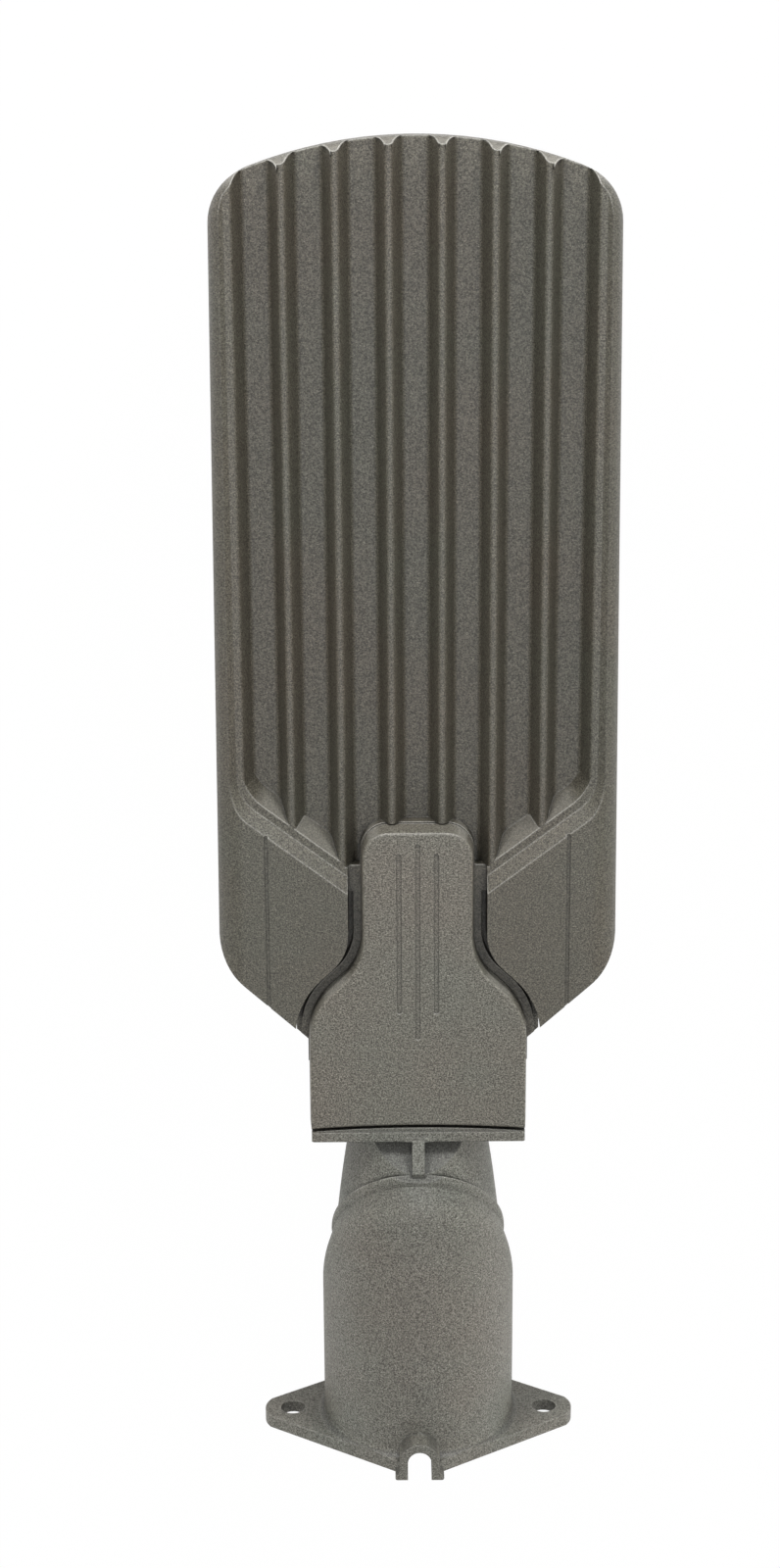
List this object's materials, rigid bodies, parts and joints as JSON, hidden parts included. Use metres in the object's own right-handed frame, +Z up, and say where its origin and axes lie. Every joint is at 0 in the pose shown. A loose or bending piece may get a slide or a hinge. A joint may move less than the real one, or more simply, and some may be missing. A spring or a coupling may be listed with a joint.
{
  "type": "led street light head",
  "caption": "Finned die-cast street light head with a clear lens panel below, a gear compartment and a socket for a pole spigot.",
  "frame": {"origin": "centre of the pole socket's mouth, on the socket's axis", "axes": "+Y from the socket's mouth to the nose, +Z up with the light shining down, +X across"},
  "size_m": [0.1378, 0.4664, 0.0816],
  "materials": {
    "powder_coat": "fine sandy powder coat",
    "seal_rubber": "matt",
    "screw_steel": "bright",
    "board_face": "white solder mask",
    "chip": "phosphor",
    "lens_clear": "clear",
    "pad_grey": "matt",
    "driver_case": "satin",
    "surge_case": "matt",
    "terminal_case": "matt",
    "terminal_brass": "satin",
    "trim_plastic": "matt"
  },
  "bodies": {
    "root": {"housing": "powder_coat", "gear_cover": "powder_coat", "pole_bracket": "powder_coat", "gear_cover_gasket": "seal_rubber", "bracket_gasket": "seal_rubber", "lens_gasket": "seal_rubber", "cable_grommet": "seal_rubber", "cover_screws": "screw_steel", "bracket_bolts": "screw_steel", "pole_set_screws": "screw_steel", "board_screws": "screw_steel", "lens_screws": "screw_steel", "driver_screws": "screw_steel", "clamp_screws": "screw_steel", "led_board": "board_face", "led_chips": "chip", "thermal_pad": "pad_grey", "board_connector": "terminal_case", "lens_panel": "lens_clear", "led_driver": "driver_case", "surge_protector": "surge_case", "terminal_block": "terminal_case", "terminal_screws": "terminal_brass", "earth_screw": "terminal_brass", "cable_clamp": "trim_plastic", "vent_plug": "trim_plastic"}
  },
  "joints": []
}
